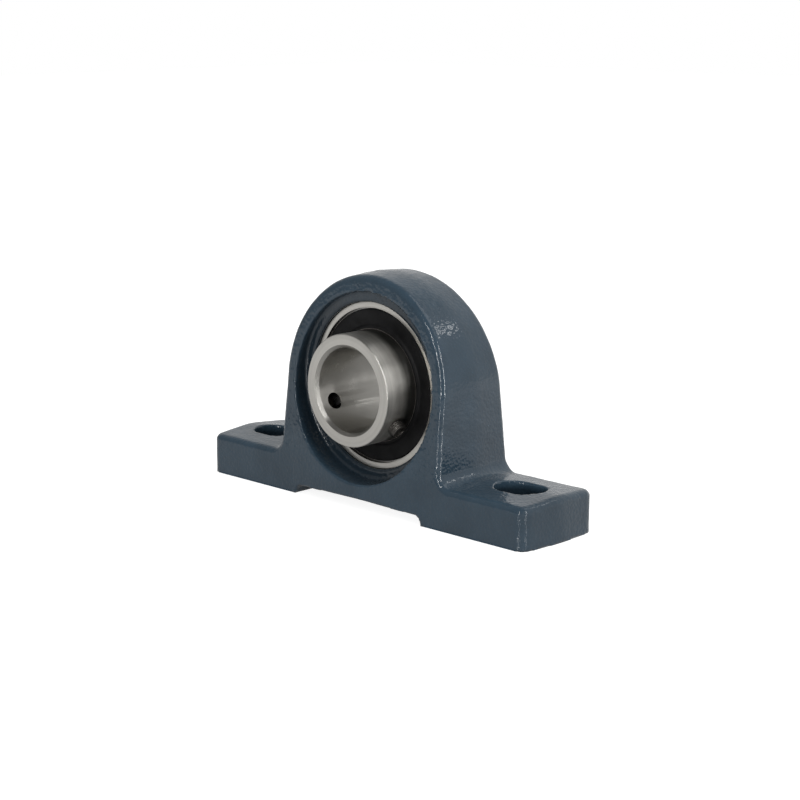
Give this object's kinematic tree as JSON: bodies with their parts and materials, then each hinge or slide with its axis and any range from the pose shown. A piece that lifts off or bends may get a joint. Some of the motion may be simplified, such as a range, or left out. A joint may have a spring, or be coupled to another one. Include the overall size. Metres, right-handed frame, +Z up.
{
  "type": "pillow block bearing",
  "caption": "Self-aligning ball bearing insert, held on its shaft by set screws, in a painted cast housing with two slotted feet.",
  "frame": {"origin": "on the underside of the feet, midway between the bolt slots and below the centre of the bearing", "axes": "+X along the base from slot to slot, +Y along the shaft away from the set-screw collar, +Z up from the base"},
  "size_m": [0.1568, 0.0413, 0.0826],
  "materials": {
    "painted_iron": "dark blue-grey gloss enamel over an as-cast, slightly pebbled surface",
    "ring_steel": "ground bearing steel with fine turning marks",
    "ball_steel": "polished hardened steel",
    "cage_steel": "pressed sheet steel",
    "seal_rubber": "moulded black nitrile rubber",
    "plate_steel": "pressed sheet steel",
    "screw_steel": "black oxide",
    "pin_steel": "ground"
  },
  "bodies": {
    "housing": {"housing": "painted_iron"},
    "pin": {"locating_pin": "pin_steel"},
    "outer": {"outer_ring": "ring_steel", "front_seal": "seal_rubber", "front_seal_plate": "plate_steel", "rear_seal": "seal_rubber", "rear_seal_plate": "plate_steel"},
    "inner": {"inner_ring": "ring_steel"},
    "cage": {"cage_front": "cage_steel", "cage_rear": "cage_steel", "cage_rivets": "cage_steel"},
    "screw_1": {"set_screw_1": "screw_steel"},
    "screw_2": {"set_screw_2": "screw_steel"},
    "ball_1_body": {"ball_1": "ball_steel"},
    "ball_2_body": {"ball_2": "ball_steel"},
    "ball_3_body": {"ball_3": "ball_steel"},
    "ball_4_body": {"ball_4": "ball_steel"},
    "ball_5_body": {"ball_5": "ball_steel"},
    "ball_6_body": {"ball_6": "ball_steel"},
    "ball_7_body": {"ball_7": "ball_steel"},
    "ball_8_body": {"ball_8": "ball_steel"},
    "ball_9_body": {"ball_9": "ball_steel"}
  },
  "joints": [
    {"name": "aligning_swivel", "type": "hinge", "parent": "housing", "child": "pin", "pos_m": [0, 0, 0.0429], "axis": [0, 0, 1], "range_deg": [-5, 5]},
    {"name": "aligning_tilt", "type": "hinge", "parent": "pin", "child": "outer", "pos_m": [0, 0, 0.0429], "axis": [1, 0, 0], "range_deg": [-5, 5]},
    {"name": "shaft_spin", "type": "hinge", "parent": "outer", "child": "inner", "pos_m": [0, 0, 0.0429], "axis": [0, 1, 0], "continuous": true},
    {"name": "cage_spin", "type": "hinge", "parent": "outer", "child": "cage", "pos_m": [0, 0, 0.0429], "axis": [0, 1, 0], "continuous": true},
    {"name": "ball_1_roll", "type": "hinge", "parent": "cage", "child": "ball_1_body", "pos_m": [0, 0, 0.0659], "axis": [0, 1, 0], "continuous": true},
    {"name": "ball_2_roll", "type": "hinge", "parent": "cage", "child": "ball_2_body", "pos_m": [-0.01478, 0, 0.06052], "axis": [0, 1, 0], "continuous": true},
    {"name": "ball_3_roll", "type": "hinge", "parent": "cage", "child": "ball_3_body", "pos_m": [-0.02265, 0, 0.04689], "axis": [0, 1, 0], "continuous": true},
    {"name": "ball_4_roll", "type": "hinge", "parent": "cage", "child": "ball_4_body", "pos_m": [-0.01992, 0, 0.0314], "axis": [0, 1, 0], "continuous": true},
    {"name": "ball_5_roll", "type": "hinge", "parent": "cage", "child": "ball_5_body", "pos_m": [-0.00787, 0, 0.02129], "axis": [0, 1, 0], "continuous": true},
    {"name": "ball_6_roll", "type": "hinge", "parent": "cage", "child": "ball_6_body", "pos_m": [0.00787, 0, 0.02129], "axis": [0, 1, 0], "continuous": true},
    {"name": "ball_7_roll", "type": "hinge", "parent": "cage", "child": "ball_7_body", "pos_m": [0.01992, 0, 0.0314], "axis": [0, 1, 0], "continuous": true},
    {"name": "ball_8_roll", "type": "hinge", "parent": "cage", "child": "ball_8_body", "pos_m": [0.02265, 0, 0.04689], "axis": [0, 1, 0], "continuous": true},
    {"name": "ball_9_roll", "type": "hinge", "parent": "cage", "child": "ball_9_body", "pos_m": [0.01478, 0, 0.06052], "axis": [0, 1, 0], "continuous": true},
    {"name": "set_screw_1_travel", "type": "slide", "parent": "inner", "child": "screw_1", "axis": [0.829, 0, -0.5592], "range_m": [-0.0022, 0.0016]},
    {"name": "set_screw_2_travel", "type": "slide", "parent": "inner", "child": "screw_2", "axis": [-0.8988, 0, -0.4384], "range_m": [-0.0022, 0.0016]}
  ],
  "couplings": [
    {"joint": "cage_spin", "follows": "shaft_spin", "ratio": 0.3965},
    {"joint": "ball_1_roll", "follows": "shaft_spin", "ratio": -2.3112},
    {"joint": "ball_2_roll", "follows": "shaft_spin", "ratio": -2.3112},
    {"joint": "ball_3_roll", "follows": "shaft_spin", "ratio": -2.3112},
    {"joint": "ball_4_roll", "follows": "shaft_spin", "ratio": -2.3112},
    {"joint": "ball_5_roll", "follows": "shaft_spin", "ratio": -2.3112},
    {"joint": "ball_6_roll", "follows": "shaft_spin", "ratio": -2.3112},
    {"joint": "ball_7_roll", "follows": "shaft_spin", "ratio": -2.3112},
    {"joint": "ball_8_roll", "follows": "shaft_spin", "ratio": -2.3112},
    {"joint": "ball_9_roll", "follows": "shaft_spin", "ratio": -2.3112}
  ]
}
